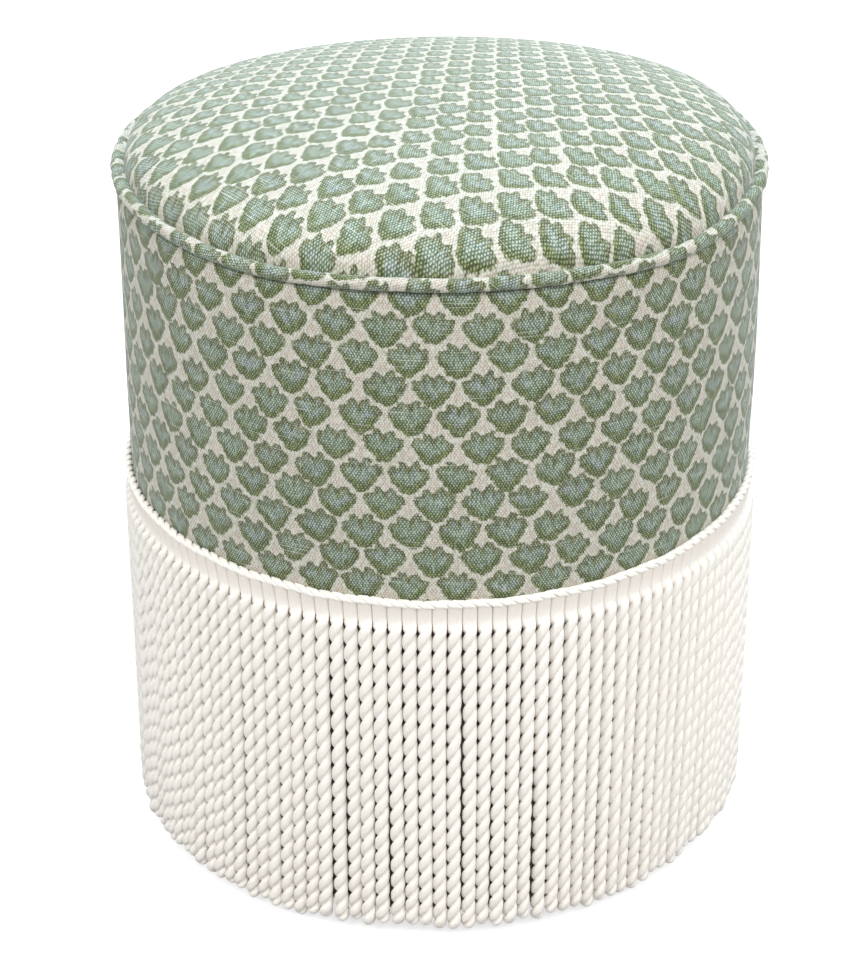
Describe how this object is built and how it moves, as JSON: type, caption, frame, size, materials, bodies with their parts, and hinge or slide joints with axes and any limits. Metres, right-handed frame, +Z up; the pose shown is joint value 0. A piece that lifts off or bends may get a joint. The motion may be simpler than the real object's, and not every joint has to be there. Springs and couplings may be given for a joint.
{
  "type": "tuffet",
  "caption": "Round drum tuffet with a domed padded seat in small-print linen, self piping at the rim and a twisted ivory bullion fringe hanging to the floor.",
  "frame": {"origin": "on the floor, under the middle of the drum", "axes": "+Z up along the drum's axis; -Y is the front in the picture and the back seam is at +Y"},
  "size_m": [0.4092, 0.4094, 0.4793],
  "materials": {
    "printed_linen": "matte",
    "ivory_bullion": "satin",
    "plywood": "matte",
    "batten_timber": "matte",
    "seat_foam": "matte",
    "polyester_wadding": "matte",
    "filler_cord": "matte",
    "dust_cloth": "matte",
    "glide_plastic": "satin",
    "zinc_screw": "satin"
  },
  "bodies": {
    "root": {"base_board": "plywood", "top_board": "plywood", "frame_post_1": "batten_timber", "frame_post_2": "batten_timber", "frame_post_3": "batten_timber", "frame_post_4": "batten_timber", "frame_post_5": "batten_timber", "frame_post_6": "batten_timber", "base_screw_1": "zinc_screw", "base_screw_2": "zinc_screw", "base_screw_3": "zinc_screw", "base_screw_4": "zinc_screw", "base_screw_5": "zinc_screw", "base_screw_6": "zinc_screw", "top_screw_1": "zinc_screw", "top_screw_2": "zinc_screw", "top_screw_3": "zinc_screw", "top_screw_4": "zinc_screw", "top_screw_5": "zinc_screw", "top_screw_6": "zinc_screw", "wall_panel": "plywood", "foam_pad": "seat_foam", "seat_wadding": "polyester_wadding", "seat_cover": "printed_linen", "piping_cover": "printed_linen", "piping_cord": "filler_cord", "side_wadding": "polyester_wadding", "side_cover": "printed_linen", "dust_cover": "dust_cloth", "glide_1": "glide_plastic", "glide_2": "glide_plastic", "glide_3": "glide_plastic", "glide_4": "glide_plastic", "glide_screw_1": "zinc_screw", "glide_screw_2": "zinc_screw", "glide_screw_3": "zinc_screw", "glide_screw_4": "zinc_screw", "fringe_edge_cord": "ivory_bullion", "bullion_fringe": "ivory_bullion"}
  },
  "joints": []
}
